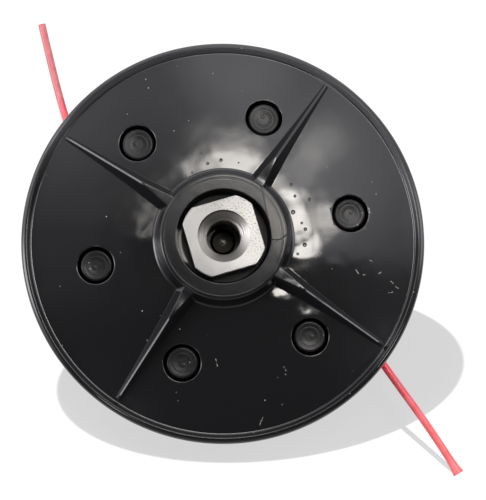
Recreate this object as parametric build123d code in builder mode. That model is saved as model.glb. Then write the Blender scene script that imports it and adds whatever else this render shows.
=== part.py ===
from build123d import *
from math import asin, cos, radians, sin, sqrt, tan
import os

os.makedirs("parts", exist_ok=True)

# A trimmer line spool: a moulded cap over a moulded cup, drawn together on the axis by a bolt
# that screws into a steel arbor nut. The line is wound inside and leaves through two eyelets.
# Millimetres, +Z up along the axis, the cup stands on Z = 0.

# Stack along the axis, from the ground up
recess_depth = 10.0
web_thickness = 3.0
pocket_floor = 3.0
nut_length = 27.0
nut_proud = 0.3

# Cap: domed face, hub ring and rim
cap_r = 62.5
cap_wall = 3.0
dome_r = 245.0
hub_height = 6.0
hub_base_r = 21.1
hub_top_r = 19.2
hub_edge_round = 0.6
hub_foot_round = 0.8
lip_width = 2.9
lip_height = 1.6
lip_round = 1.7
lip_crest = 0.2
lip_foot_round = 0.5
rim_depth = 7.0
rim_wall = 3.0
cavity_top_r = 14.4
cavity_floor_r = 13.7
cavity_depth = 6.0

# Four ribs that run down the face from the hub
rib_count = 4
rib_start_angle = 45.0
rib_end_gap = 1.3
rib_break_r = 29.0
rib_below_hub = 0.7
rib_ridge_width = 0.7
rib_draft = 22.0
rib_end_height = 1.3
rib_end_lean = 0.4

# Arbor nut: a round bar with four flats
nut_r = 13.0
nut_across_flats = 22.0
nut_turn = 4.8
nut_edge = 0.25
nut_clearance = 0.1
countersink_r = 8.0
countersink_step = 0.5
countersink_depth = 3.3
arbor_thread_r = 5.19
arbor_bore_depth = 16.0

# Six posts of the cup that lock into holes of the cap
post_count = 6
post_circle_r = 40.0
post_inset = 0.2
post_r = 4.85
post_draft = 0.5
post_edge_round = 0.7
post_dish = 0.25
post_dish_flat_r = 1.6
post_below_face = 1.0
post_clearance = 0.85
post_hole_edge = 0.4

# Cup: a drum with a rounded foot and a core tube for the winding
cup_rim_gap = 2.0
cup_taper = 2.0
cup_wall = 3.0
cup_floor = 3.0
cup_foot_round = 13.0
cup_rim_round = 0.8
seat_clearance = 0.2
core_r = 19.5
core_wall = 2.5
core_top_gap = 1.0
spigot_clearance = 0.15
recess_r = 14.0

# Eyelets in the cup's wall
exit_angle = 134.5
exit_z = 18.5
eyelet_bore_r = 3.5
eyelet_wall = 0.8
eyelet_flange_r = 5.8
eyelet_flange = 1.0
eyelet_lip = 0.8
eyelet_depth = 3.6
eyelet_clearance = 0.05
exit_boss_r = 6.6
exit_boss_proud = 0.6

# Clamp bolt and its washers
bolt_r = 4.0
bolt_length = 20.0
bolt_head_across_flats = 13.0
bolt_head_height = 5.3
bolt_point = 0.8
bolt_clearance = 0.5
thread_clearance = 0.05
washer_r = 12.0
washer_thickness = 1.6
spring_washer_r = 7.4
spring_washer_thickness = 2.0
spring_washer_slit = 1.2
washer_clearance = 0.2

# Line
line_d = 2.4
winding_turns = 11
winding_r = 31.8
winding_groove = 0.8
winding_clearance = 0.1

# Routes of the two line tails, from the winding out through the eyelets
tail_left_points = [
    (-33.2, -2.0),
    (-36.3, 16.5),
    (-39.2, 35.5),
    (-41.4, 54.5),
    (-42.4, 70.8),
    (-42.85, 82.3),
]
tail_right_points = [
    (33.1, 2.0),
    (34.7, -13.0),
    (36.4, -27.3),
    (39.2, -40.6),
    (44.9, -53.7),
    (49.8, -64.6),
    (54.1, -75.0),
    (57.8, -85.0),
]

# Levels and radii that follow from the sizes above
web_top_z = recess_depth + web_thickness
nut_seat_z = web_top_z + pocket_floor
nut_top_z = nut_seat_z + nut_length
hub_top_z = nut_top_z - nut_proud
hub_base_z = hub_top_z - hub_height
line_r = line_d / 2
core_bore_r = core_r - core_wall
spigot_r = core_bore_r - spigot_clearance
lip_inner_r = cap_r - lip_width
lip_lean = lip_width - lip_round - lip_crest
rib_outer_r = lip_inner_r - rib_end_gap
rim_inner_r = cap_r - rim_wall
cup_top_r = rim_inner_r - cup_rim_gap
cup_foot_r = cup_top_r - cup_taper
arbor_bore_z = nut_top_z - arbor_bore_depth
dome_centre_z = hub_base_z - sqrt(dome_r**2 - hub_base_r**2)
dome_under_r = dome_r - cap_wall


def face_z(r):
    """Height of the cap's domed face at a radius."""
    return dome_centre_z + sqrt(dome_r**2 - r**2)


def under_z(r):
    """Height of the cap's underside at a radius."""
    return dome_centre_z + sqrt(dome_under_r**2 - r**2)


crest_z = face_z(lip_inner_r) + lip_height
rim_bottom_z = crest_z - rim_depth
cup_top_z = under_z(cup_top_r) - seat_clearance
core_top_z = under_z(core_r) - core_top_gap
rib_flat_z = hub_top_z - rib_below_hub
post_top_z = face_z(post_circle_r) - post_below_face


# Rib: a drafted wedge whose ridge falls from the hub to the level of the lip, levelled off near the hub
ridge_end = Vector(rib_outer_r, 0, face_z(rib_outer_r) + rib_end_height)
ridge_break = Vector(rib_break_r, 0, rib_flat_z)
ridge_direction = (ridge_break - ridge_end).normalized()
rib_inner_r = (hub_top_r + cavity_top_r) / 2
rib_root = cap_wall / 2
rib_depth = hub_top_z - rim_bottom_z
rib_spread = rib_depth * tan(radians(rib_draft))

with BuildPart() as rib:
    with BuildSketch(Plane.XZ) as rib_side:
        with BuildLine():
            Polyline(
                (rib_inner_r, face_z(rib_inner_r) - rib_root),
                (rib_inner_r, rib_flat_z),
                (rib_break_r, rib_flat_z),
                (rib_outer_r, ridge_end.Z),
                (rib_outer_r + rib_end_lean, face_z(rib_outer_r) - rib_root),
                close=True,
            )
        make_face()
    extrude(amount=rib_spread + rib_ridge_width, both=True)
    with BuildSketch(Plane(origin=ridge_end, x_dir=(0, 1, 0), z_dir=ridge_direction)) as rib_section:
        with BuildLine():
            Polyline(
                (-rib_ridge_width / 2, 0),
                (rib_ridge_width / 2, 0),
                (rib_ridge_width / 2 + rib_spread, rib_depth),
                (-rib_ridge_width / 2 - rib_spread, rib_depth),
                close=True,
            )
        make_face()
    extrude(amount=rib_outer_r, both=True, mode=Mode.INTERSECT)


# Mouth of a post hole: its edge is broken all round by a cone square to the sloping face
post_hole_r = post_r + post_clearance
face_tilt = asin(post_circle_r / dome_r)
face_normal = Vector(sin(face_tilt), 0, cos(face_tilt))
face_down = Vector(cos(face_tilt), 0, -sin(face_tilt))
mouth_centre = Vector(post_circle_r, 0, face_z(post_circle_r)) + face_normal * post_hole_edge
with BuildPart() as hole_mouth:
    with BuildSketch(Plane(origin=mouth_centre, x_dir=face_down, z_dir=face_normal)) as mouth_outline:
        Circle(post_hole_r + 2 * post_hole_edge)
    extrude(amount=-4 * post_hole_edge, taper=45)


# Cap: one moulding with the face, the hub ring, the ribs, the rim and the nut pocket
with BuildPart() as upper_flange:
    with BuildSketch(Plane.XZ) as cap_section:
        with BuildLine():
            Polyline(
                (cap_r - lip_round, crest_z),
                (lip_inner_r + lip_lean, crest_z),
                (lip_inner_r, face_z(lip_inner_r)),
            )
            RadiusArc((lip_inner_r, face_z(lip_inner_r)), (hub_base_r, hub_base_z), -dome_r)
            Polyline(
                (hub_base_r, hub_base_z),
                (hub_top_r, hub_top_z),
                (0, hub_top_z),
                (0, web_top_z),
                (spigot_r, web_top_z),
                (spigot_r, under_z(spigot_r)),
            )
            RadiusArc((spigot_r, under_z(spigot_r)), (rim_inner_r, under_z(rim_inner_r)), dome_under_r)
            Polyline(
                (rim_inner_r, under_z(rim_inner_r)),
                (rim_inner_r, rim_bottom_z),
                (cap_r, rim_bottom_z),
                (cap_r, crest_z - lip_round),
            )
            RadiusArc((cap_r, crest_z - lip_round), (cap_r - lip_round, crest_z), -lip_round)
        make_face()
        hub_corner = Vector(hub_top_r, hub_top_z)
        hub_foot = Vector(hub_base_r, hub_base_z)
        lip_foot = Vector(lip_inner_r, face_z(lip_inner_r))
        fillet(cap_section.vertices().sort_by_distance(hub_corner)[0], hub_edge_round)
        fillet(cap_section.vertices().sort_by_distance(hub_foot)[0], hub_foot_round)
        fillet(cap_section.vertices().sort_by_distance(lip_foot)[0], lip_foot_round)
    revolve(axis=Axis.Z)
    with PolarLocations(0, rib_count, start_angle=rib_start_angle):
        add(rib.part)
    with BuildSketch(Plane.XZ) as cavity_section:
        with BuildLine():
            Polyline(
                (0, hub_top_z),
                (cavity_top_r, hub_top_z),
                (cavity_floor_r, hub_top_z - cavity_depth),
                (0, hub_top_z - cavity_depth),
                close=True,
            )
        make_face()
    revolve(axis=Axis.Z, mode=Mode.SUBTRACT)
    with BuildSketch(Plane.XY.offset(nut_seat_z)) as nut_pocket:
        Circle(nut_r + nut_clearance)
        pocket_width = nut_across_flats + 2 * nut_clearance
        Rectangle(pocket_width, pocket_width, rotation=nut_turn, mode=Mode.INTERSECT)
    extrude(amount=hub_top_z - nut_seat_z, mode=Mode.SUBTRACT)
    with BuildSketch(Plane.XY.offset(web_top_z)) as bolt_passage:
        Circle(bolt_r + bolt_clearance)
    extrude(amount=pocket_floor, mode=Mode.SUBTRACT)
    with BuildSketch(Plane.XY.offset(rim_bottom_z)) as post_holes:
        with PolarLocations(post_circle_r, post_count):
            Circle(post_hole_r)
    extrude(amount=hub_top_z - rim_bottom_z, mode=Mode.SUBTRACT)
    with PolarLocations(0, post_count):
        add(hole_mouth.part, mode=Mode.SUBTRACT)
upper_flange.part.label = "upper_flange"
export_step(upper_flange.part, "parts/upper_flange.step")


# Arbor nut: a bar with four flats, countersunk and bored for the arbor, tapped below for the bolt
with BuildPart() as arbor_nut:
    with BuildSketch(Plane.XY.offset(nut_seat_z)) as nut_outline:
        Circle(nut_r)
        Rectangle(nut_across_flats, nut_across_flats, rotation=nut_turn, mode=Mode.INTERSECT)
    extrude(amount=nut_length)
    chamfer(arbor_nut.faces().sort_by(Axis.Z)[-1].edges(), nut_edge)
    with BuildSketch(Plane.XZ) as nut_bore:
        with BuildLine():
            Polyline(
                (0, nut_top_z),
                (countersink_r, nut_top_z),
                (countersink_r, nut_top_z - countersink_step),
                (arbor_thread_r, nut_top_z - countersink_depth),
                (arbor_thread_r, arbor_bore_z),
                (bolt_r + thread_clearance, arbor_bore_z),
                (bolt_r + thread_clearance, nut_seat_z),
                (0, nut_seat_z),
                close=True,
            )
        make_face()
    revolve(axis=Axis.Z, mode=Mode.SUBTRACT)
arbor_nut.part.label = "arbor_nut"
export_step(arbor_nut.part, "parts/arbor_nut.step")


# Post: a drafted peg with a rounded end that has sunk a little in the middle
post_root_z = cup_floor / 2
post_root_r = post_r + (post_top_z - post_root_z) * tan(radians(post_draft))
with BuildPart() as post:
    with BuildSketch(Plane.XZ) as post_section:
        with BuildLine():
            Polyline(
                (post_r - post_edge_round, post_top_z),
                (post_dish_flat_r, post_top_z - post_dish),
                (0, post_top_z - post_dish),
                (0, post_root_z),
                (post_root_r, post_root_z),
                (post_r, post_top_z - post_edge_round),
            )
            RadiusArc(
                (post_r, post_top_z - post_edge_round),
                (post_r - post_edge_round, post_top_z),
                -post_edge_round,
            )
        make_face()
    revolve(axis=Axis.Z)


def exit_plane(angle, radius):
    """Plane square to the line's way out, at a radius from the axis."""
    out = Vector(cos(radians(angle)), sin(radians(angle)), 0)
    return Plane(origin=out * radius + Vector(0, 0, exit_z), x_dir=(0, 0, 1), z_dir=out)


def cup_outer_r(z):
    """Outer radius of the cup's drafted wall at a height."""
    return cup_foot_r + (cup_top_r - cup_foot_r) * z / cup_top_z


exit_boss_face_r = cup_outer_r(exit_z) + exit_boss_proud
eyelet_sleeve_r = eyelet_bore_r + eyelet_wall
exit_angles = {"eyelet_left": exit_angle, "eyelet_right": exit_angle - 180.0}

# Cup: one moulding with the drum, the core tube, the six posts and the bosses for the eyelets
with BuildPart() as lower_cup:
    with BuildSketch(Plane.XZ) as cup_section:
        with BuildLine():
            Polyline(
                (recess_r, 0),
                (cup_foot_r, 0),
                (cup_top_r, cup_top_z),
                (cup_top_r - cup_wall, cup_top_z),
                (cup_foot_r - cup_wall, cup_floor),
                (core_r, cup_floor),
                (core_r, core_top_z),
                (core_bore_r, core_top_z),
                (core_bore_r, web_top_z),
                (bolt_r + bolt_clearance, web_top_z),
                (bolt_r + bolt_clearance, recess_depth),
                (recess_r, recess_depth),
                close=True,
            )
        make_face()
        foot_corner = Vector(cup_foot_r, 0)
        floor_corner = Vector(cup_foot_r - cup_wall, cup_floor)
        rim_corner = Vector(cup_top_r, cup_top_z)
        fillet(cup_section.vertices().sort_by_distance(foot_corner)[0], cup_foot_round)
        fillet(cup_section.vertices().sort_by_distance(floor_corner)[0], cup_foot_round - cup_wall)
        fillet(cup_section.vertices().sort_by_distance(rim_corner)[0], cup_rim_round)
    revolve(axis=Axis.Z)
    with PolarLocations(post_circle_r - post_inset, post_count):
        add(post.part)
    for angle in exit_angles.values():
        with BuildSketch(exit_plane(angle, exit_boss_face_r)) as exit_boss:
            Circle(exit_boss_r)
        extrude(amount=-(exit_boss_proud + cup_wall / 2))
        with BuildSketch(exit_plane(angle, exit_boss_face_r)) as exit_hole:
            Circle(eyelet_sleeve_r + eyelet_clearance)
        extrude(amount=-(exit_boss_proud + 2 * cup_wall), mode=Mode.SUBTRACT)
lower_cup.part.label = "lower_cup"
export_step(lower_cup.part, "parts/lower_cup.step")


# Eyelets: turned sleeves with a flange and rounded mouths, so that the line runs over no edge
for name, angle in exit_angles.items():
    with BuildPart() as eyelet:
        with BuildSketch(Plane.XZ) as eyelet_section:
            with BuildLine():
                Polyline(
                    (eyelet_bore_r, -eyelet_depth),
                    (eyelet_sleeve_r, -eyelet_depth),
                    (eyelet_sleeve_r, 0),
                    (eyelet_flange_r, 0),
                    (eyelet_flange_r, eyelet_flange),
                    (eyelet_bore_r, eyelet_flange),
                    close=True,
                )
            make_face()
            outer_mouth = Vector(eyelet_bore_r, eyelet_flange)
            inner_mouth = Vector(eyelet_bore_r, -eyelet_depth)
            flange_edge = Vector(eyelet_flange_r, eyelet_flange)
            fillet(eyelet_section.vertices().sort_by_distance(outer_mouth)[0], eyelet_lip)
            fillet(eyelet_section.vertices().sort_by_distance(inner_mouth)[0], eyelet_wall / 2)
            fillet(eyelet_section.vertices().sort_by_distance(flange_edge)[0], eyelet_flange / 2)
        revolve(axis=Axis.Z)
    placed = exit_plane(angle, exit_boss_face_r).location * eyelet.part
    placed.label = name
    export_step(placed, "parts/" + name + ".step")


# Clamp bolt with a hexagon head, a spring washer and a plain washer, in the cup's recess
washer_z = recess_depth - washer_thickness
spring_washer_z = washer_z - spring_washer_thickness
bolt_head_z = spring_washer_z - bolt_head_height
bolt_end_z = spring_washer_z + bolt_length

with BuildPart() as clamp_bolt:
    with BuildSketch(Plane.XY.offset(bolt_head_z)) as bolt_head:
        RegularPolygon(bolt_head_across_flats / 2, 6, major_radius=False)
    extrude(amount=bolt_head_height)
    with BuildSketch(Plane.XY.offset(spring_washer_z)) as bolt_shank:
        Circle(bolt_r)
    extrude(amount=bolt_length)
    chamfer(clamp_bolt.edges().filter_by(GeomType.CIRCLE).sort_by(Axis.Z)[-1], bolt_point)
clamp_bolt.part.label = "clamp_bolt"
export_step(clamp_bolt.part, "parts/clamp_bolt.step")

with BuildPart() as spring_washer:
    with BuildSketch(Plane.XY.offset(spring_washer_z)) as spring_washer_outline:
        Circle(spring_washer_r)
        Circle(bolt_r + washer_clearance, mode=Mode.SUBTRACT)
        with Locations((spring_washer_r, 0)):
            Rectangle(2 * spring_washer_r, spring_washer_slit, mode=Mode.SUBTRACT)
    extrude(amount=spring_washer_thickness)
spring_washer.part.label = "spring_washer"
export_step(spring_washer.part, "parts/spring_washer.step")

with BuildPart() as clamp_washer:
    with BuildSketch(Plane.XY.offset(washer_z)) as washer_outline:
        Circle(washer_r)
        Circle(bolt_r + washer_clearance, mode=Mode.SUBTRACT)
    extrude(amount=washer_thickness)
clamp_washer.part.label = "clamp_washer"
export_step(clamp_washer.part, "parts/clamp_washer.step")


# Line winding: the turns round the core as one body, ridged by its outermost layer.
# Each turn of that layer is six-sided in section, with a corner outwards.
winding_inner_r = core_r + winding_clearance
winding_body = winding_r - winding_groove - winding_inner_r
winding_height = winding_turns * line_d
with BuildPart() as line_winding:
    with BuildSketch(Plane.XZ) as winding_section:
        with Locations((winding_inner_r, cup_floor)):
            Rectangle(winding_body, winding_height, align=(Align.MIN, Align.MIN))
        with Locations((winding_r - line_r, cup_floor + winding_height / 2)):
            with GridLocations(0, line_d, 1, winding_turns):
                RegularPolygon(line_r, 6)
    revolve(axis=Axis.Z)
line_winding.part.label = "line_winding"
export_step(line_winding.part, "parts/line_winding.step")


def bend_radii(points):
    """Radius of each bend of a tail: as large as the shorter of its two runs allows."""
    radii = []
    for before, corner, after in zip(points, points[1:], points[2:]):
        turn = (corner - before).get_angle(after - corner)
        shorter = min((corner - before).length, (after - corner).length)
        radii.append(0.45 * shorter / tan(radians(turn / 2)))
    return radii


# Line tails: the two free ends, level with the eyelets
tail_routes = {"line_tail_left": tail_left_points, "line_tail_right": tail_right_points}
for name, route_points in tail_routes.items():
    points = [Vector(x, y, exit_z) for x, y in route_points]
    radii = bend_radii(points)
    with BuildPart() as tail:
        with BuildLine():
            path = FilletPolyline(*points, radius=radii)
        with BuildSketch(Plane(origin=path @ 0, z_dir=path % 0)) as tail_section:
            Circle(line_r)
        sweep(path=path)
    tail.part.label = name
    export_step(tail.part, "parts/" + name + ".step")
    tube_volume = tail_section.sketch.area * path.length
    print(name, "length %.1f mm, bend radii" % path.length, [round(r) for r in radii])
    print(name, "volume %.1f, section times length %.1f" % (tail.part.volume, tube_volume))
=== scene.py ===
"""Looks of the trimmer line spool: moulded cap, steel nut, line, their finishes, light and camera."""

import math

import bmesh
import bpy
from mathutils import Matrix, Vector


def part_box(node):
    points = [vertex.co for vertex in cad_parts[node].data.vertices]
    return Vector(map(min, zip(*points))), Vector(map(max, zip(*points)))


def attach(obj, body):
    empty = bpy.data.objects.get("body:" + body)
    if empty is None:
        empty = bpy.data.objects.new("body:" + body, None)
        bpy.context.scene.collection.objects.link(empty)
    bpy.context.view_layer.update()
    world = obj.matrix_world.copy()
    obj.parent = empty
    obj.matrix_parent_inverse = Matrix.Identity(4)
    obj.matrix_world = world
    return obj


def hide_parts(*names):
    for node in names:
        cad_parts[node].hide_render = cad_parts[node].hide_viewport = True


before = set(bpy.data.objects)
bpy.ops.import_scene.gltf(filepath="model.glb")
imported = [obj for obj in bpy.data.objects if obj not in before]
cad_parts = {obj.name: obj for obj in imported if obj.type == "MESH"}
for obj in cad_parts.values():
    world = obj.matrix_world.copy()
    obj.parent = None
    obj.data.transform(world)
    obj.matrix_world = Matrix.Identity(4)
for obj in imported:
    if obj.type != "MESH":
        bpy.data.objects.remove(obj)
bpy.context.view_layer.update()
scene = bpy.context.scene

# Pieces are modelled in millimetres and scaled once to the frame's metres.
MM = 0.001

# Levels read from the frame
cap_low, cap_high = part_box("upper_flange")
nut_low, nut_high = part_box("arbor_nut")
CAP_R = cap_high.x / MM
HUB_TOP_Z = cap_high.z / MM
SPIGOT_Z = cap_low.z / MM
NUT_TOP_Z = nut_high.z / MM
NUT_SEAT_Z = nut_low.z / MM

# Cap: dome, hub ring, lip and rim
DOME_R = 245.0
CAP_WALL = 3.0
HUB_HEIGHT = 6.0
HUB_BASE_Z = HUB_TOP_Z - HUB_HEIGHT
HUB_BASE_R = 21.1
DOME_CENTRE_Z = HUB_BASE_Z - math.sqrt(DOME_R**2 - HUB_BASE_R**2)
HUB_TOP_R = 19.2
CAVITY_TOP_R = 14.4
CAVITY_FLOOR_R = 13.7
CAVITY_DEPTH = 6.0
LIP_INNER_R = 59.6
LIP_HEIGHT = 1.6
LIP_ROUND = 1.7
LIP_LEAN = 1.0
RIM_WALL = 3.0
RIM_DEPTH = 7.0
SPIGOT_R = 16.85
BOLT_HOLE_R = 4.5
RIM_EDGE_ROUND = 0.4
LIP_CREST_ROUND = 0.4
LIP_FOOT_ROUND = 0.5
HUB_FOOT_ROUND = 0.8
HUB_EDGE_ROUND = 0.6
CAVITY_EDGE_ROUND = 0.25
CAVITY_FLOOR_ROUND = 0.3
DOME_STEPS = 15
UNDERSIDE_STEPS = 8
CAP_TURN_STEPS = 288

# How far below the hub's top its ring's finish reaches, and how far above the face the flanks' one begins
RING_MARGIN = 0.3
FLANK_MARGIN = 0.05

# Ribs
RIB_ANGLES = (45, 135, 225, 315)
RIB_INNER_R = 16.8
RIB_BREAK_R = 29.0
RIB_OUTER_R = 58.3
RIB_END_HEIGHT = 1.3
RIB_END_FALL = 1.3 * RIB_END_HEIGHT
RIB_END_LEAN = 0.5
RIB_END_STEPS = 5
RIB_BELOW_HUB = 0.7
RIB_FLAT_Z = HUB_TOP_Z - RIB_BELOW_HUB
RIB_RIDGE = 0.35
RIB_DRAFT = 0.38
RIB_RIDGE_ROUND = 0.2
RIB_FOOT_ROUND = 0.04
RIB_TOE = 0.2
RIB_TOE_SINK = 0.05
RIB_ROOT = 1.2
RIB_STATIONS = 28

# Posts of the cup, with the heights where the finish of their ends begins, and their holes in the cap
POST_COUNT = 6
POST_CIRCLE_R = 40.0
POST_INSET = 0.2
POST_END_LOW_Z = 32.2
POST_END_HIGH_Z = 32.6
HOLE_R = 5.7
HOLE_EDGE = 0.4
HOLE_MIDDLE_Z = 30.0
HOLE_DEPTH = 24.0
HOLE_STEPS = 96
MOUTH_INSET = 0.3
MOUTH_DEPTH = 1.2

# How far a cutter runs past the face that it opens
CUT_PAST = 1.0

# Nut
NUT_R = 13.0
NUT_HALF_FLATS = 11.0
NUT_TURN = math.radians(4.8)
NUT_EDGE = 0.3
POCKET_GAP = 0.1
COUNTERSINK_R = 8.0
COUNTERSINK_STEP = 0.5
COUNTERSINK_DEPTH = 3.3
THREAD_MINOR_R = 5.19
THREAD_MAJOR_R = 6.0
THREAD_PITCH = 1.5
BORE_DEPTH = 16.0
TAPPED_R = 4.05
BORE_STEPS = 96
LEVELS_PER_TURN = 10

# Line: the routes of the two tails, in metres, and the line's own size
LINE_D = 0.0024
LINE_Z = 0.0185
TAIL_LEFT = [
    (-0.0332, -0.0020),
    (-0.0363, 0.0165),
    (-0.0392, 0.0355),
    (-0.0414, 0.0545),
    (-0.0422, 0.0707),
    (-0.04255, 0.08165),
]
TAIL_RIGHT = [
    (0.0331, 0.0020),
    (0.0347, -0.0130),
    (0.0364, -0.0273),
    (0.0392, -0.0406),
    (0.0449, -0.0537),
    (0.0498, -0.0646),
    (0.0541, -0.0750),
    (0.0566, -0.0817),
    (0.0578, -0.0850),
]
TAIL_END_FLARES = {"line_tail_left": 1.0, "line_tail_right": 1.45}

# Dents in the face, where the thick walls behind it have shrunk: (x, y, radius, depth)
DENTS = [
    (23.0, -7.0, 6.0, 0.08),
    (12.6, -23.6, 7.5, -0.32),
    (20.0, -30.2, 7.0, -0.42),
    (-20.5, 4.5, 5.0, -0.12),
]

# Pits left by gas in the moulding: (x, y, radius)
PITS = [
    (-0.1, 23.7, 0.5),
    (4.1, 24.0, 0.6),
    (-1.5, 27.3, 0.35),
    (9.3, 22.1, 0.3),
    (-5.3, 21.9, 0.4),
    (-7.6, 21.1, 0.4),
    (23.9, 12.3, 0.6),
    (24.2, 8.5, 0.5),
    (22.6, 3.7, 0.75),
    (24.5, -0.1, 0.45),
    (25.2, -2.2, 0.6),
    (24.0, -6.9, 0.7),
    (28.5, 6.6, 0.6),
    (21.3, -9.2, 0.45),
]

# Scratches in the face, from end to end
SCRATCHES = [
    ((0.9, -55.7), (-0.5, -57.7)),
    ((10.2, -42.0), (10.7, -43.4)),
    ((-9.7, -35.4), (-9.6, -37.7)),
    ((38.0, -17.3), (38.6, -18.6)),
    ((40.0, -19.3), (40.8, -19.3)),
    ((44.7, -19.9), (45.6, -19.5)),
    ((48.1, -22.8), (48.7, -23.5)),
    ((46.8, -26.2), (47.9, -26.2)),
    ((42.8, -15.1), (43.7, -15.8)),
    ((49.3, -24.6), (50.0, -25.3)),
]

# Shade on the ground: the head's oval, and the strip of the right tail from end to end
SHADE_CENTRE = (4.4, -42.3)
SHADE_HALF = (66.5, 27.6)
SHADE_TILT = math.radians(-6.8)
TAIL_SHADE = ((44.0, -65.0), (58.8, -84.5))
FLOOR_HALF = 20000

# Lights of the room, in degrees of direction: (right, up, outer radius, inner radius, strength)
LAMPS = [
    (10.5, 7, 7.6, 4.4, 20.0),
    (2.5, 18, 9, 1, 17.0),
    (-11, 11.5, 6, 1, 3.0),
    (11.5, 13.5, 4.6, 2, 6.0),
    (19.8, 10.6, 3.2, 0.8, 16.0),
    (15, 21, 6, 1, 2.5),
    (18.5, 24.5, 5, 1.5, 2.0),
    (-1.4, 25.5, 5, 1, 1.5),
    (6, 24.5, 4, 1, 1.8),
]
WINDOWS = [
    (-58, -3, 14, 6, 7.0),
    (54, 10, 16, 6, 3.5),
    (-32.3, 28.8, 5, 3, 8.0),
    (-22, -28.3, 5.5, 3, 9.0),
    (36.2, -14.9, 5.5, 3, 8.0),
]
KEY_PLACE = Vector((-0.45, 0.45, 1.0))
KEY_SIZE = 0.25
KEY_POWER = 3.5

# Camera, as fitted to the photograph: pixel frame, focal length and the pixel of the crest's centre
IMAGE_SIZE = (486, 500)
FOCAL_PX = 1618.35
CREST_PX = (223.237, 240.304)
CAMERA_DISTANCE = 0.5
CAMERA_TILT = math.radians(7.0)
CAMERA_SWING = math.radians(7.95)
PICTURE_TURN = Matrix.Rotation(math.radians(-11.64), 3, "Z")


def face_z(r):
    """Height of the domed face at a radius."""
    return DOME_CENTRE_Z + math.sqrt(DOME_R**2 - r**2)


def under_z(r):
    """Height of the underside at a radius."""
    return DOME_CENTRE_Z + math.sqrt((DOME_R - CAP_WALL) ** 2 - r**2)


CREST_Z = face_z(LIP_INNER_R) + LIP_HEIGHT


# Shader maths


class Field:
    """A socket of a node tree. Sums, products and powers of it add Math nodes."""

    def __init__(self, tree, socket):
        self.tree = tree
        self.socket = socket

    def math(self, operation, *others):
        inputs = dict(enumerate((self, *others)))
        return self.tree.node("Math", {"operation": operation}, inputs)

    def __add__(self, other):
        return self.math("ADD", other)

    __radd__ = __add__

    def __mul__(self, other):
        return self.math("MULTIPLY", other)

    __rmul__ = __mul__

    def __sub__(self, other):
        return self.math("SUBTRACT", other)

    def __rsub__(self, other):
        return self * -1 + other

    def __truediv__(self, other):
        return self.math("DIVIDE", other)

    def __pow__(self, other):
        return self.math("POWER", other)

    def output(self, name):
        """Another output of the same node."""
        return Field(self.tree, self.socket.node.outputs[name])

    def step(self, low, high):
        """0 below low, 1 above high, smooth between them; low may be the larger."""
        inputs = {"Value": self, "From Min": low, "From Max": high}
        return self.tree.node("MapRange", {"interpolation_type": "SMOOTHSTEP"}, inputs)


class Tree:
    """A node tree, of a material or of the world."""

    def __init__(self, owner):
        owner.use_nodes = True
        self.nodes = owner.node_tree.nodes
        self.links = owner.node_tree.links
        self.nodes.clear()

    def node(self, kind, settings=None, inputs=None, output=0):
        """Adds a node, sets its settings, then its sockets, and gives one of its outputs."""
        node = self.nodes.new("ShaderNode" + kind)
        for name, value in (settings or {}).items():
            setattr(node, name, value)
        for name, value in (inputs or {}).items():
            if isinstance(value, Field):
                self.links.new(value.socket, node.inputs[name])
            else:
                node.inputs[name].default_value = value
        return Field(self, node.outputs[output]) if node.outputs else None

    def mix(self, factor, a, b):
        """Colour a where the factor is 0, colour b where it is 1."""
        return self.node("Mix", {"data_type": "RGBA"}, {0: factor, 6: a, 7: b}, output=2)


def rgb(code):
    """Linear colour of a web colour code."""
    channels = [int(code[i : i + 2], 16) / 255 for i in (1, 3, 5)]
    return (*[c / 12.92 if c <= 0.04045 else ((c + 0.055) / 1.055) ** 2.4 for c in channels], 1.0)


class Place:
    """The object's own coordinates in millimetres: the point, x, y, z and the radius from the axis."""

    def __init__(self, tree):
        self.tree = tree
        metres = tree.node("TexCoord", output="Object")
        self.point = tree.node("VectorMath", {"operation": "SCALE"}, {0: metres, "Scale": 1 / MM})
        self.flat = tree.node("VectorMath", {"operation": "MULTIPLY"}, {0: self.point, 1: (1, 1, 0)})
        self.x = tree.node("SeparateXYZ", inputs={0: self.point})
        self.y = self.x.output("Y")
        self.z = self.x.output("Z")
        self.r = self.distance(0, 0)

    def distance(self, x, y, plan=None):
        """Distance from an upright line, in the plain plan or in a bent one."""
        inputs = {0: plan or self.flat, 1: (x, y, 0)}
        return self.tree.node("VectorMath", {"operation": "DISTANCE"}, inputs, output="Value")

    def bent_plan(self, size, amount):
        """The plan with its points pushed about, up to that many millimetres."""
        push = self.noise(size, 1.0).output("Color")
        inputs = {0: push, 1: (2 * amount, 2 * amount, 0), 2: self.flat}
        plan = self.tree.node("VectorMath", {"operation": "MULTIPLY_ADD"}, inputs)
        return self.tree.node("VectorMath", {"operation": "SUBTRACT"}, {0: plan, 1: (amount, amount, 0)})

    def distance_to_segment(self, start, end):
        """Distance from an upright strip between two ends."""
        run = Vector(end) - Vector(start)
        length = run.length
        way = run / length
        along = self.x * way.x + self.y * way.y - way.dot(Vector(start))
        across = self.y * way.x - self.x * way.y - way.cross(Vector(start))
        past = (along - length / 2).math("ABSOLUTE") - length / 2
        past = past.math("MAXIMUM", 0.0)
        return (past * past + across * across) ** 0.5

    def noise(self, size, detail=2.0, roughness=0.5):
        """Noise whose lumps are about that many millimetres across."""
        inputs = {"Vector": self.point, "Scale": 1 / size, "Detail": detail, "Roughness": roughness}
        return self.tree.node("TexNoise", inputs=inputs)

    def specks(self, spacing, radius, share):
        """1 in scattered round specks, which that share of the cells holds."""
        away = self.tree.node("TexVoronoi", inputs={"Vector": self.point, "Scale": 1 / spacing})
        chance = self.tree.node("SeparateColor", inputs={0: away.output("Color")})
        return away.step(radius / spacing, 0.5 * radius / spacing) * chance.step(1 - share, 1.01 - share)


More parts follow.
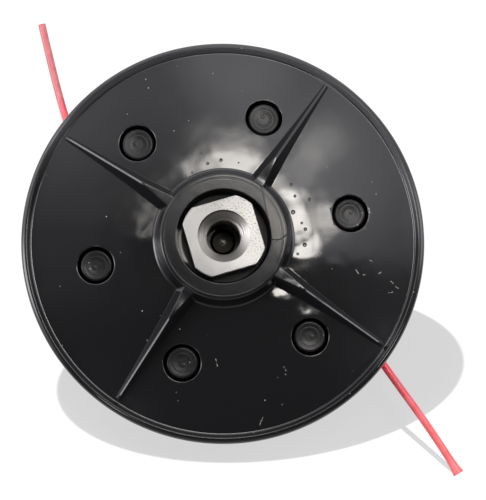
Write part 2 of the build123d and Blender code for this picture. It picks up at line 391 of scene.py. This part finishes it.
def bump(tree, height_mm, normal=None):
    """A normal from a height in millimetres."""
    inputs = {"Strength": 1.0, "Distance": MM, "Height": height_mm}
    if normal:
        inputs["Normal"] = normal
    return tree.node("Bump", inputs=inputs)


def new_material(name):
    """A material, its node tree and the places on its surface."""
    material = bpy.data.materials.new(name)
    tree = Tree(material)
    return material, tree, Place(tree)


def surface(tree, inputs):
    """Ends a material's tree with its shader."""
    shader = tree.node("BsdfPrincipled", inputs=inputs)
    tree.node("OutputMaterial", inputs={"Surface": shader})


def smallest(distances):
    """The least of several distances, at each place."""
    nearest = distances[0]
    for distance in distances[1:]:
        nearest = nearest.math("MINIMUM", distance)
    return nearest


def cap_plastic():
    """Glossy black moulding: dents, pits, dust and scratches in the face; the lip's inner slope is painted
    lighter on its upper side as painted light.
    """
    material, tree, at = new_material("glossy_black_moulding")
    face = at.r.step(HUB_BASE_R - 1.0, HUB_BASE_R)

    waves = at.noise(9.0, 1.0) * (at.r.step(48.0, 24.0) * 0.17 + 0.05)
    sink = at.r.step(27.5, 21.0) * -0.12
    plan = at.bent_plan(7.0, 4.0)
    for x, y, radius, depth in DENTS:
        sink = sink - at.distance(x, y, plan).step(radius, 0.0) * depth
    pit = smallest([at.distance(x, y) / radius for x, y, radius in PITS]).step(1.0, 0.2)
    peel = at.noise(1.4, 2.0) * 0.004
    scratch = smallest([at.distance_to_segment(*ends) for ends in SCRATCHES]).step(0.22, 0.05)
    scratch = scratch * at.noise(0.5).step(0.35, 0.6)

    normal = bump(tree, (waves + sink) * face)
    normal = bump(tree, peel - pit * face * 0.09, normal)
    dust = at.specks(2.6, 0.26, 0.22) * at.noise(16.0, 1.0).step(0.38, 0.62)
    marks = dust.math("MAXIMUM", scratch) * face
    film = at.noise(14.0, 3.0).step(0.35, 0.75)
    # Painted light: the lip's inner slope gets a lighter colour on its upper side, where the room light
    # falls on it.
    slope = at.r.step(LIP_INNER_R - 0.1, LIP_INNER_R + 0.4) * at.r.step(LIP_INNER_R + 1.2, LIP_INNER_R + 0.9)
    lip_painted_light = slope * (at.y + at.x * 0.3).step(5.0, 40.0)
    colour = tree.mix(lip_painted_light, rgb("#121213"), rgb("#464648"))
    colour = tree.mix(marks * 0.55, colour, rgb("#A6A29C"))
    roughness = 0.09 + film * 0.05 + marks * 0.4
    surface(tree, {"Base Color": colour, "Roughness": roughness, "Normal": normal})
    return material


def hub_ring_plastic():
    """The hub ring's satin top, a little crowned: turned lines, a crack and a paler patch beside it."""
    material, tree, at = new_material("satin_black_ring")
    crack_y = (at.x - 15.9) ** 2 * 0.14 - 4.4
    below = at.y - crack_y
    across = below.math("ABSOLUTE").step(0.22, 0.06) * at.x.step(13.0, 13.8)
    beside = (at.x - 14.25).math("ABSOLUTE").step(0.18, 0.05) * at.y.step(-0.5, 1.0)
    crack = across.math("MAXIMUM", beside)
    patch = at.x.step(14.1, 14.5) * below.step(-0.1, 0.2)
    rings = (at.r * (math.tau / 0.55)).math("SINE") * (patch * 0.008 + 0.002) * at.r.step(16.6, 17.4)
    groove = (at.r - 18.0).math("ABSOLUTE").step(0.2, 0.05) * 0.03
    crown = ((at.x * 0.5) ** 2 + at.y * at.y) ** 0.5 * -0.016
    grain = at.noise(0.5, 3.0) * 0.004 + at.noise(4.0, 1.0) * 0.02
    normal = bump(tree, crown + rings + grain - groove - crack * 0.1)
    colour = tree.mix(patch, rgb("#101011"), rgb("#2A2826"))
    colour = tree.mix(crack, colour, rgb("#060606"))
    roughness = 0.14 + patch * 0.06 + crack * 0.4
    inputs = {"Base Color": colour, "Roughness": roughness, "Specular IOR Level": 0.33, "Normal": normal}
    surface(tree, inputs)
    return material


def rib_flank_plastic():
    """The ribs' flanks, drawn dull as they leave the mould."""
    material, tree, at = new_material("satin_black_flanks")
    normal = bump(tree, at.noise(0.6, 2.0) * 0.006)
    colour = tree.mix(at.noise(6.0, 2.0), rgb("#121213"), rgb("#181819"))
    inputs = {"Base Color": colour, "Roughness": 0.24, "Specular IOR Level": 0.07, "Normal": normal}
    surface(tree, inputs)
    return material


def cavity_plastic():
    """The same moulding inside the hub, dulled by grease and darkened as painted shade of the recess, with a
    lit patch painted pale on one side.
    """
    material, tree, at = new_material("greasy_shaded_black_moulding")
    smear = at.noise(2.5, 3.0).step(0.35, 0.7)
    # Painted light: a pale patch on the cavity floor on one side, where light reaches past the nut.
    painted_lit_sliver = at.r.step(12.7, 13.2) * at.x.step(-11.4, -12.4) * at.y.math("ABSOLUTE").step(5.6, 4.2)
    normal = bump(tree, at.noise(0.8, 2.0) * 0.02)
    # Painted shade: the recess gets a darker base than the face, blotched by grease.
    colour = tree.mix(smear, rgb("#0B0B0B"), rgb("#131210"))
    colour = tree.mix(painted_lit_sliver, colour, rgb("#A8A6A2"))
    inputs = {"Base Color": colour, "Roughness": 0.5, "Specular IOR Level": 0.2, "Normal": normal}
    surface(tree, inputs)
    return material


def cup_plastic():
    """Duller black moulding of the cup: its posts have sunken ends with a ring and a gate mark."""
    material, tree, at = new_material("satin_black_moulding")
    spacing = math.tau / POST_COUNT
    turn = (at.y.math("ARCTAN2", at.x) / spacing).math("ROUND") * spacing
    cosine = turn.math("COSINE")
    sine = turn.math("SINE")
    along = at.x * cosine + at.y * sine - POST_CIRCLE_R + POST_INSET
    across = at.y * cosine - at.x * sine
    from_centre = (along * along + across * across) ** 0.5
    gate = (((along - 0.7) ** 2 + (across - 0.5) ** 2) ** 0.5).step(0.75, 0.35)
    ring = (from_centre - 3.15).math("ABSOLUTE").step(0.35, 0.1)
    end = at.z.step(POST_END_LOW_Z, POST_END_HIGH_Z)
    grain = at.noise(0.7, 3.0) * 0.008 + at.noise(3.0, 2.0) * 0.05
    normal = bump(tree, (gate * 0.05 - ring * 0.03 - along * 0.06) * end + grain)
    scuff = at.noise(5.0, 4.0).step(0.5, 0.8)
    dust = at.specks(2.2, 0.3, 0.12)
    colour = tree.mix(scuff, rgb("#121213"), rgb("#19191A"))
    colour = tree.mix(dust * 0.5, colour, rgb("#8A8782"))
    roughness = 0.3 + scuff * 0.1
    inputs = {"Base Color": colour, "Roughness": roughness, "Specular IOR Level": 0.2, "Normal": normal}
    surface(tree, inputs)
    return material


def nut_steel():
    """Turned and milled steel: rings in the countersink, a painted shadow along its top edge on one side and
    a painted sheen fanning left and right, dark flecks on the face, a face of uneven tone painted lighter
    towards one side, a dark bore.
    """
    material, tree, at = new_material("turned_steel")
    cone_foot_z = NUT_TOP_Z - COUNTERSINK_DEPTH
    inside = at.r.step(COUNTERSINK_R + 0.05, COUNTERSINK_R - 0.1)
    cone = inside * at.z.step(cone_foot_z - 0.7, cone_foot_z - 0.2)
    rings = (at.r * (math.tau / 0.62)).math("SINE") * cone * 0.018
    # Painted shadow: a dark ring at the countersink's top edge on its upper side, where its step would
    # shade.
    painted_step_shadow = at.r.step(COUNTERSINK_R - 0.45, COUNTERSINK_R - 0.25) * inside
    painted_step_shadow = painted_step_shadow * (at.y - at.x * 0.4).step(1.0, 7.0)
    crown = at.r * at.r * -0.0003
    grain = at.noise(0.22, 3.0) * 0.012
    normal = bump(tree, rings + crown + grain)
    worn = (at.x * 0.8 + at.y * 0.5 + at.noise(4.0, 2.0) * 6).step(0.0, 9.0)
    flecks = at.noise(0.5, 4.0, 0.7).step(0.5, 0.64) * worn
    bore = at.z.step(cone_foot_z - 0.1, cone_foot_z - 0.9)
    # Partly random tone, partly painted light: the face is coloured lighter towards one side.
    across = (at.x - at.y * 0.5) * 0.05 + at.noise(5.0, 3.0)
    colour = tree.mix(across.step(0.1, 0.95), rgb("#8B8A89"), rgb("#A5A4A1"))
    colour = tree.mix(flecks * 0.65, colour, rgb("#4A463F"))
    shaded = (at.y * -1.0 - at.x * 0.4).step(5.0, 13.0)
    colour = tree.mix(shaded * 0.5, colour, rgb("#6C6C6E"))
    # Painted sheen: the countersink is coloured lighter to the left and right, darker above and below.
    painted_fan_sheen = tree.mix((at.x * at.x / (at.r * at.r)).step(0.05, 0.9), rgb("#7A7873"), rgb("#B0ADA8"))
    colour = tree.mix(cone, colour, painted_fan_sheen)
    colour = tree.mix(painted_step_shadow * 0.8, colour, rgb("#3A3936"))
    colour = tree.mix(bore, colour, rgb("#35332B"))
    roughness = 0.46 + flecks * 0.12 - cone * 0.06
    inputs = {"Base Color": colour, "Metallic": 1.0 - bore, "Roughness": roughness, "Normal": normal}
    surface(tree, inputs)
    return material


def blackened_steel():
    """Oxide-black steel of the clamp bolt, with a painted glint at the middle of its end."""
    material, tree, at = new_material("blackened_steel")
    # Painted highlight: a lighter spot at the middle of the bolt's end.
    painted_glint = at.r.step(1.3, 0.2) * at.noise(0.8).step(0.35, 0.65)
    normal = bump(tree, at.noise(0.3, 3.0) * 0.02)
    colour = tree.mix(painted_glint, rgb("#1F1E1A"), rgb("#7C786E"))
    surface(tree, {"Base Color": colour, "Metallic": 1.0, "Roughness": 0.5, "Normal": normal})
    return material


def plated_steel():
    """Zinc-plated washers: pale, faintly clouded."""
    material, tree, at = new_material("plated_steel")
    cloud = at.noise(2.0, 3.0).step(0.3, 0.7)
    normal = bump(tree, at.noise(0.25, 2.0) * 0.01)
    colour = tree.mix(cloud, rgb("#A9A69B"), rgb("#C6C4BC"))
    inputs = {"Base Color": colour, "Metallic": 1.0, "Roughness": 0.3 + cloud * 0.1, "Normal": normal}
    surface(tree, inputs)
    return material


def eyelet_metal():
    """Turned aluminium, polished by the line."""
    material, tree, at = new_material("turned_aluminium")
    normal = bump(tree, at.noise(0.3, 2.0) * 0.008)
    colour = tree.mix(at.noise(1.5, 3.0).step(0.35, 0.7), rgb("#C9C9CB"), rgb("#E0E0E2"))
    surface(tree, {"Base Color": colour, "Metallic": 1.0, "Roughness": 0.27, "Normal": normal})
    return material


def red_line():
    """Extruded nylon, a little clouded, painted a brighter, deeper red beside the cap against the cap's
    shadow on it, and paler towards its ends.
    """
    material, tree, at = new_material("red_nylon_line")
    cloud = at.noise(4.0, 2.0).step(0.3, 0.7)
    far = at.y.step(-80.0, -60.0)
    colour = tree.mix(at.y.step(-60.0, 40.0), rgb("#BE3B46"), rgb("#A2484D"))
    colour = tree.mix((1.0 - far) * 0.6, colour, rgb("#C6544F"))
    colour = tree.mix(cloud * 0.25, colour, rgb("#DC8A8C"))
    # Painted light: the line is coloured brighter red beside the cap, lifting the cap's shadow on it.
    colour = tree.mix(at.r.step(72.0, 62.0), colour, rgb("#EC364E"))
    normal = bump(tree, at.noise(0.9, 2.0) * 0.02)
    surface(tree, {"Base Color": colour, "Roughness": 0.28 + cloud * 0.1, "Normal": normal})
    return material


# Mesh helpers


def lathe(bm, section, steps):
    """Spins a closed section of (radius, height, corner round) about the axis."""
    corners = [bm.verts.new((r, 0, z)) for r, z, _ in section]
    for start, end in zip(corners, corners[1:] + corners[:1]):
        bm.edges.new((start, end))
    for corner, (_, _, rounding) in zip(corners, section):
        if rounding:
            bmesh.ops.bevel(
                bm,
                geom=[corner],
                offset=rounding,
                offset_type="OFFSET",
                segments=6,
                profile=0.5,
                affect="VERTICES",
                material=-1,
            )
    outline = bm.verts[:] + bm.edges[:]
    bmesh.ops.spin(bm, geom=outline, axis=(0, 0, 1), angle=math.tau, steps=steps, use_merge=True)
    bmesh.ops.remove_doubles(bm, verts=bm.verts, dist=1e-5)
    bmesh.ops.recalc_face_normals(bm, faces=bm.faces)


def verts_of(geom):
    """The vertices among the elements that an operator gives."""
    return [element for element in geom if isinstance(element, bmesh.types.BMVert)]


def repeat(bm, places):
    """Puts a copy of the whole mesh at each place, and takes the first one away."""
    first = bm.verts[:] + bm.edges[:] + bm.faces[:]
    for place in places:
        copy = bmesh.ops.duplicate(bm, geom=first)["geom"]
        bmesh.ops.transform(bm, matrix=place, verts=verts_of(copy))
    bmesh.ops.delete(bm, geom=verts_of(first), context="VERTS")


def post_turns():
    """The turns about the axis that lead from the first post to each of them."""
    return [Matrix.Rotation(math.tau * k / POST_COUNT, 4, "Z") for k in range(POST_COUNT)]


def as_object(name, bm):
    """An object in metres of a mesh modelled in millimetres."""
    bmesh.ops.scale(bm, vec=(MM, MM, MM), verts=bm.verts)
    mesh = bpy.data.meshes.new(name)
    bm.to_mesh(mesh)
    bm.free()
    obj = bpy.data.objects.new(name, mesh)
    scene.collection.objects.link(obj)
    return obj


def combine(obj, tool, operation):
    """Adds a tool's solid to a piece, or cuts it away, and removes the tool."""
    modifier = obj.modifiers.new("combine", "BOOLEAN")
    modifier.operation = operation
    modifier.solver = "EXACT"
    modifier.object = tool
    depsgraph = bpy.context.evaluated_depsgraph_get()
    mesh = bpy.data.meshes.new_from_object(obj.evaluated_get(depsgraph))
    obj.modifiers.clear()
    obj.data = mesh
    bpy.data.objects.remove(tool)


def finish_piece(obj, material, node):
    """Smooths a piece, gives it its finish and puts it in place of its CAD node."""
    obj.data.materials.clear()
    obj.data.materials.append(material)
    obj.data.shade_smooth()
    obj.data.set_sharp_from_angle(angle=math.radians(32))
    shading = obj.modifiers.new("flat_faces_lead", "WEIGHTED_NORMAL")
    shading.keep_sharp = True
    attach(obj, "root")
    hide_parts(node)


# Cap


def cap_body():
    """The turned form of the cap: dome, hub ring with its cavity, lip, rim and spigot."""
    rim_inner = CAP_R - RIM_WALL
    dome_step = (HUB_BASE_R - LIP_INNER_R) / DOME_STEPS
    dome = [LIP_INNER_R + dome_step * k for k in range(1, DOME_STEPS)]
    underside_step = (rim_inner - SPIGOT_R) / UNDERSIDE_STEPS
    underside = [SPIGOT_R + underside_step * k for k in range(1, UNDERSIDE_STEPS)]
    cavity_floor = HUB_TOP_Z - CAVITY_DEPTH
    section = [
        (CAP_R, CREST_Z - RIM_DEPTH, RIM_EDGE_ROUND),
        (CAP_R, CREST_Z, LIP_ROUND),
        (LIP_INNER_R + LIP_LEAN, CREST_Z, LIP_CREST_ROUND),
        (LIP_INNER_R, face_z(LIP_INNER_R), LIP_FOOT_ROUND),
        *[(r, face_z(r), 0) for r in dome],
        (HUB_BASE_R, HUB_BASE_Z, HUB_FOOT_ROUND),
        (HUB_TOP_R, HUB_TOP_Z, HUB_EDGE_ROUND),
        (CAVITY_TOP_R, HUB_TOP_Z, CAVITY_EDGE_ROUND),
        (CAVITY_FLOOR_R, cavity_floor, CAVITY_FLOOR_ROUND),
        (BOLT_HOLE_R, cavity_floor, 0),
        (BOLT_HOLE_R, SPIGOT_Z, 0),
        (SPIGOT_R, SPIGOT_Z, 0),
        (SPIGOT_R, under_z(SPIGOT_R), 0),
        *[(r, under_z(r), 0) for r in underside],
        (rim_inner, under_z(rim_inner), 0),
        (rim_inner, CREST_Z - RIM_DEPTH, RIM_EDGE_ROUND),
    ]
    bm = bmesh.new()
    lathe(bm, section, CAP_TURN_STEPS)
    return as_object("cap", bm)


def bend(start, corner, end, parts):
    """Points on a round that leaves one side of a corner and meets the other."""
    shares = [k / parts for k in range(parts + 1)]
    return [start.lerp(corner, s).lerp(corner.lerp(end, s), s) for s in shares]


def rib_section(r):
    """Outline of a rib across its length, as (side, height) points from one toe to the other."""
    slope = (face_z(RIB_OUTER_R) + RIB_END_HEIGHT - RIB_FLAT_Z) / (RIB_OUTER_R - RIB_BREAK_R)
    sharp_z = RIB_FLAT_Z + slope * (r - RIB_BREAK_R)
    ridge_z = min(RIB_FLAT_Z, sharp_z)
    half_width = RIB_RIDGE + RIB_DRAFT * (sharp_z - ridge_z)
    past = max(r - RIB_OUTER_R, 0) / RIB_END_LEAN
    ridge_z -= RIB_END_FALL * past**2
    face = face_z(r)
    rise = max(ridge_z - face, 0.02)
    side = Vector((RIB_DRAFT, -1)).normalized()
    ridge_round = min(RIB_RIDGE_ROUND, 0.4 * rise)
    foot_round = min(RIB_FOOT_ROUND, 0.5 * rise)
    ridge = Vector((half_width, face + rise))
    foot = Vector((half_width + rise * RIB_DRAFT, face))
    toe = foot + Vector((foot_round, 0))
    half = bend(ridge - Vector((ridge_round, 0)), ridge, ridge + side * ridge_round, 3)
    half += bend(foot - side * foot_round, foot, toe, 4)
    half += [toe + Vector((RIB_TOE, -RIB_TOE_SINK)), toe + Vector((RIB_TOE, -RIB_ROOT))]
    sunk = Vector((0, min(ridge_z - face, 0)))
    half = [point + sunk for point in half]
    return [Vector((-p.x, p.y)) for p in reversed(half)] + half


def ribs():
    """The four ribs as closed bodies whose feet run out into the dome."""
    bm = bmesh.new()
    loops = []
    length = RIB_OUTER_R - RIB_INNER_R
    stations = [RIB_INNER_R + length * k / RIB_STATIONS for k in range(RIB_STATIONS)]
    stations += [RIB_OUTER_R + RIB_END_LEAN * k / RIB_END_STEPS for k in range(RIB_END_STEPS + 1)]
    for r in sorted([*stations, RIB_BREAK_R]):
        verts = [bm.verts.new((r, p.x, p.y)) for p in rib_section(r)]
        loops.append([bm.edges.new(pair) for pair in zip(verts, verts[1:] + verts[:1])])
    for near, far in zip(loops, loops[1:]):
        bmesh.ops.bridge_loops(bm, edges=near + far)
    bmesh.ops.holes_fill(bm, edges=loops[0] + loops[-1], sides=0)
    bmesh.ops.recalc_face_normals(bm, faces=bm.faces)
    repeat(bm, [Matrix.Rotation(math.radians(angle), 4, "Z") for angle in RIB_ANGLES])
    return as_object("ribs", bm)


def post_holes():
    """Straight cutters of the six holes."""
    bm = bmesh.new()
    bmesh.ops.create_cone(
        bm,
        cap_ends=True,
        segments=HOLE_STEPS,
        radius1=HOLE_R,
        radius2=HOLE_R,
        depth=HOLE_DEPTH,
        matrix=Matrix.Translation((POST_CIRCLE_R, 0, HOLE_MIDDLE_Z)),
    )
    repeat(bm, post_turns())
    return as_object("post_holes", bm)


def hole_mouths():
    """Cutters that round the edges of the holes, square to the dome."""
    bm = bmesh.new()
    top = HOLE_R + HOLE_EDGE
    drop = top**2 / (2 * DOME_R)
    arc = [math.pi / 2 * k / 5 for k in range(6)]
    section = [(top - HOLE_EDGE * math.sin(a), HOLE_EDGE * (math.cos(a) - 1) - drop, 0) for a in arc]
    foot = [(HOLE_R - MOUTH_INSET, -MOUTH_DEPTH, 0), (0, -MOUTH_DEPTH, 0)]
    lathe(bm, [(0, CUT_PAST, 0), (top, CUT_PAST, 0), *section, *foot], HOLE_STEPS)
    tilt = math.asin(POST_CIRCLE_R / DOME_R)
    seat = Matrix.Translation((POST_CIRCLE_R, 0, face_z(POST_CIRCLE_R))) @ Matrix.Rotation(tilt, 4, "Y")
    repeat(bm, [turn @ seat for turn in post_turns()])
    return as_object("hole_mouths", bm)


def four_flats(name, radius, half_flats, low, high, edge=0):
    """A round bar with four flats, standing between two heights, its top edge broken."""
    bm = bmesh.new()
    bmesh.ops.create_circle(bm, cap_ends=True, radius=radius, segments=256)
    for k in range(4):
        angle = NUT_TURN + math.tau * k / 4
        normal = Vector((math.cos(angle), math.sin(angle), 0))
        bmesh.ops.bisect_plane(
            bm,
            geom=bm.verts[:] + bm.edges[:] + bm.faces[:],
            plane_co=normal * half_flats,
            plane_no=normal,
            clear_outer=True,
        )
    bmesh.ops.translate(bm, vec=(0, 0, low), verts=bm.verts)
    top = verts_of(bmesh.ops.extrude_face_region(bm, geom=bm.faces[:])["geom"])
    bmesh.ops.translate(bm, vec=(0, 0, high - low), verts=top)
    bmesh.ops.recalc_face_normals(bm, faces=bm.faces)
    if edge:
        outline = [e for e in bm.edges if all(v.co.z == top[0].co.z for v in e.verts)]
        bmesh.ops.bevel(bm, geom=outline, offset=edge, segments=3, profile=0.5, affect="EDGES", material=-1)
    return as_object(name, bm)


def thread_r(angle, z):
    """Radius of the left-hand arbor thread, which runs out at the bottom of its bore."""
    turn = (z / THREAD_PITCH + angle / math.tau) % 1
    tooth = min(max((abs(2 * turn - 1) - 0.12) / 0.76, 0), 1)
    run_out = min(max((z - NUT_TOP_Z + BORE_DEPTH) / THREAD_PITCH, 0), 1)
    return THREAD_MINOR_R + (THREAD_MAJOR_R - THREAD_MINOR_R) * tooth * run_out


def nut_bore():
    """Cutter of the countersink, the threaded arbor bore and the smaller bore for the bolt."""
    cone_top = NUT_TOP_Z - COUNTERSINK_STEP
    cone_fall = COUNTERSINK_DEPTH - COUNTERSINK_STEP
    bore_z = NUT_TOP_Z - BORE_DEPTH
    thread_steps = math.ceil((cone_top - bore_z) / THREAD_PITCH * LEVELS_PER_TURN)
    levels = [NUT_SEAT_Z - CUT_PAST, bore_z]
    levels += [bore_z + (cone_top - bore_z) * k / thread_steps for k in range(thread_steps + 1)]
    levels += [NUT_TOP_Z, NUT_TOP_Z + CUT_PAST]
    bm = bmesh.new()
    bmesh.ops.create_grid(bm, x_segments=BORE_STEPS, y_segments=len(levels) - 1, size=1)
    for vert in bm.verts:
        angle = math.pi * (vert.co.x + 1)
        index = round((vert.co.y + 1) / 2 * (len(levels) - 1))
        z = levels[index]
        cone = COUNTERSINK_R - (COUNTERSINK_R - THREAD_MINOR_R) * (cone_top - z) / cone_fall
        r = max(min(cone, COUNTERSINK_R), thread_r(angle, z)) if index > 1 else TAPPED_R
        vert.co = (r * math.cos(angle), r * math.sin(angle), z)
    bmesh.ops.remove_doubles(bm, verts=bm.verts, dist=1e-5)
    bmesh.ops.holes_fill(bm, edges=[e for e in bm.edges if e.is_boundary], sides=0)
    bmesh.ops.recalc_face_normals(bm, faces=bm.faces)
    return as_object("nut_bore", bm)


def cap():
    """The moulded cap, with its own finish in the hub's cavity, on the hub ring and on the ribs' flanks."""
    obj = cap_body()
    combine(obj, ribs(), "UNION")
    combine(obj, post_holes(), "DIFFERENCE")
    combine(obj, hole_mouths(), "DIFFERENCE")
    top = HUB_TOP_Z - CAVITY_DEPTH + CUT_PAST
    pocket = four_flats("pocket", NUT_R + POCKET_GAP, NUT_HALF_FLATS + POCKET_GAP, NUT_SEAT_Z, top)
    combine(obj, pocket, "DIFFERENCE")
    finish_piece(obj, cap_plastic(), "upper_flange")
    for finish in (cavity_plastic(), hub_ring_plastic(), rib_flank_plastic()):
        obj.data.materials.append(finish)
    for face in obj.data.polygons:
        place = face.center / MM
        r = place.xy.length
        if r < CAVITY_TOP_R and NUT_SEAT_Z < place.z < HUB_TOP_Z - RING_MARGIN:
            face.material_index = 1
        elif place.z > HUB_TOP_Z - RING_MARGIN:
            face.material_index = 2
        elif HUB_BASE_R < r < RIB_OUTER_R and face.normal.z < 0.7 and place.z > face_z(r) + FLANK_MARGIN:
            face.material_index = 3


def nut():
    """The steel nut, countersunk, bored and threaded."""
    obj = four_flats("nut", NUT_R, NUT_HALF_FLATS, NUT_SEAT_Z, NUT_TOP_Z, NUT_EDGE)
    combine(obj, nut_bore(), "DIFFERENCE")
    finish_piece(obj, nut_steel(), "arbor_nut")


cap()
nut()


# Finishes of the pieces that keep their CAD shape

line = red_line()
washer_steel = plated_steel()
eyelet_finish = eyelet_metal()
finishes = {
    "lower_cup": cup_plastic(),
    "clamp_bolt": blackened_steel(),
    "spring_washer": washer_steel,
    "clamp_washer": washer_steel,
    "eyelet_left": eyelet_finish,
    "eyelet_right": eyelet_finish,
    "line_winding": line,
}
for name, finish in finishes.items():
    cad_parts[name].data.materials[0] = finish


# Line tails


def line_tail(name, points):
    """A free end of the line, along its route from the winding."""
    curve = bpy.data.curves.new(name + "_line", "CURVE")
    curve.dimensions = "3D"
    curve.bevel_depth = LINE_D / 2
    curve.bevel_resolution = 8
    curve.use_fill_caps = True
    spline = curve.splines.new("NURBS")
    spline.points.add(len(points) - 1)
    for point, (x, y) in zip(spline.points, points):
        point.co = (x, y, LINE_Z, 1.0)
    spline.points[-1].radius = TAIL_END_FLARES[name]
    spline.order_u = 3
    spline.use_endpoint_u = True
    spline.resolution_u = 24
    curve.materials.append(line)
    obj = bpy.data.objects.new(name + "_line", curve)
    scene.collection.objects.link(obj)
    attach(obj, "root")
    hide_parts(name)


line_tail("line_tail_left", TAIL_LEFT)
line_tail("line_tail_right", TAIL_RIGHT)


# Stage


def floor():
    """White ground with the flat grey shade of the head and of its right tail beside it."""
    bm = bmesh.new()
    bmesh.ops.create_grid(bm, x_segments=1, y_segments=1, size=FLOOR_HALF)
    obj = as_object("floor", bm)
    material, tree, at = new_material("white_ground")
    x = at.x - SHADE_CENTRE[0]
    y = at.y - SHADE_CENTRE[1]
    along = x * math.cos(SHADE_TILT) + y * math.sin(SHADE_TILT)
    across = y * math.cos(SHADE_TILT) - x * math.sin(SHADE_TILT)
    shade = ((along / SHADE_HALF[0]) ** 2 + (across / SHADE_HALF[1]) ** 2).step(1.02, 0.98)
    tail_shade = at.distance_to_segment(*TAIL_SHADE).step(0.9, 0.7)
    shade = shade.math("MAXIMUM", tail_shade)
    path = tree.node("LightPath", output="Is Camera Ray")
    seen = path.math("MAXIMUM", path.output("Is Glossy Ray"))
    seen = seen.math("MAXIMUM", path.output("Is Transmission Ray"))
    glow = tree.mix(shade, (0.95, 0.95, 0.95, 1), (0.6, 0.6, 0.6, 1))
    glow = tree.mix(seen, (0, 0, 0, 1), glow)
    inputs = {
        "Base Color": (0.05, 0.05, 0.05, 1),
        "Roughness": 0.9,
        "Emission Color": glow,
        "Emission Strength": 1.0,
    }
    surface(tree, inputs)
    obj.data.materials.append(material)


def studio():
    """Light of the room by direction: warm lamps and pale walls above a skyline, windows, a dim ground."""
    world = bpy.data.worlds.new("studio")
    scene.world = world
    tree = Tree(world)
    direction = tree.node("TexCoord", output="Generated")
    right = PICTURE_TURN @ Vector((1, 0, 0))
    up = PICTURE_TURN @ Vector((0, 1, 0))

    def along(axis):
        inputs = {0: direction, 1: axis}
        return tree.node("VectorMath", {"operation": "DOT_PRODUCT"}, inputs, output="Value")

    def sine(degrees):
        return math.sin(math.radians(degrees))

    u = along(right)
    v = along(up)

    def glow(u0, v0, outer, inner, strength):
        """A round light that fades from its inner radius to its outer one."""
        away = ((u - sine(u0)) ** 2 + (v - sine(v0)) ** 2) ** 0.5
        return away.step(sine(outer), sine(inner)) * strength

    skyline = (v + u * 0.13).step(sine(5.9), sine(6.9))
    lamps = sum(glow(*lamp) for lamp in LAMPS) * skyline
    windows = sum(glow(*window) for window in WINDOWS)
    walls = glow(16, 15, 30, 0, 1.85) + v.step(sine(3), sine(40)) * 1.0
    walls = walls * skyline + glow(3, 42, 14, 4, 1.1) + v.step(sine(42), sine(60)) * 1.2
    left = u.step(sine(-13), sine(-24)) * v.step(sine(-12), sine(9)) * v.step(sine(50), sine(30)) * 0.27
    left = left + u.step(sine(-36), sine(-46)) * v.step(sine(-35), sine(-10)) * 2.0
    low = u.step(sine(8), sine(45)) * v.step(sine(-30), sine(2)) * 0.25
    ground = v.step(sine(-40), sine(-55)) * 0.35
    warm = {"Color": (1.0, 0.96, 0.9, 1), "Strength": lamps}
    plain = {"Color": (0.985, 0.98, 1.03, 1), "Strength": walls + left + windows + low + ground + 0.04}
    parts = {0: tree.node("Background", inputs=warm), 1: tree.node("Background", inputs=plain)}
    tree.node("OutputWorld", inputs={"Surface": tree.node("AddShader", inputs=parts)})


def key_light():
    """A soft lamp up and to the left, which no surface mirrors."""
    data = bpy.data.lights.new("key", "AREA")
    data.shape = "DISK"
    data.size = KEY_SIZE
    data.energy = KEY_POWER
    obj = bpy.data.objects.new("key", data)
    scene.collection.objects.link(obj)
    place = PICTURE_TURN @ KEY_PLACE
    obj.location = place
    obj.rotation_euler = place.to_track_quat("Z", "Y").to_euler()
    obj.visible_glossy = False


def camera():
    """The photograph's camera: almost straight above, its picture shifted to the crest's pixel."""
    tilt, swing = CAMERA_TILT, CAMERA_SWING
    back = Vector((-math.sin(swing) * math.sin(tilt), -math.cos(swing) * math.sin(tilt), math.cos(tilt)))
    right = Vector((0, 1, 0)).cross(back).normalized()
    up = back.cross(right)
    turned = PICTURE_TURN @ Matrix((right, up, back)).transposed()
    data = bpy.data.cameras.new("camera")
    data.sensor_width = 36.0
    longer = max(IMAGE_SIZE)
    data.lens = FOCAL_PX * data.sensor_width / longer
    data.shift_x = (IMAGE_SIZE[0] / 2 - CREST_PX[0]) / longer
    data.shift_y = (CREST_PX[1] - IMAGE_SIZE[1] / 2) / longer
    obj = bpy.data.objects.new("camera", data)
    scene.collection.objects.link(obj)
    place = turned @ Vector((0, 0, CAMERA_DISTANCE)) + Vector((0, 0, CREST_Z * MM))
    obj.matrix_world = Matrix.Translation(place) @ turned.to_4x4()
    scene.camera = obj


floor()
studio()
key_light()
camera()
scene.view_settings.view_transform = "Standard"
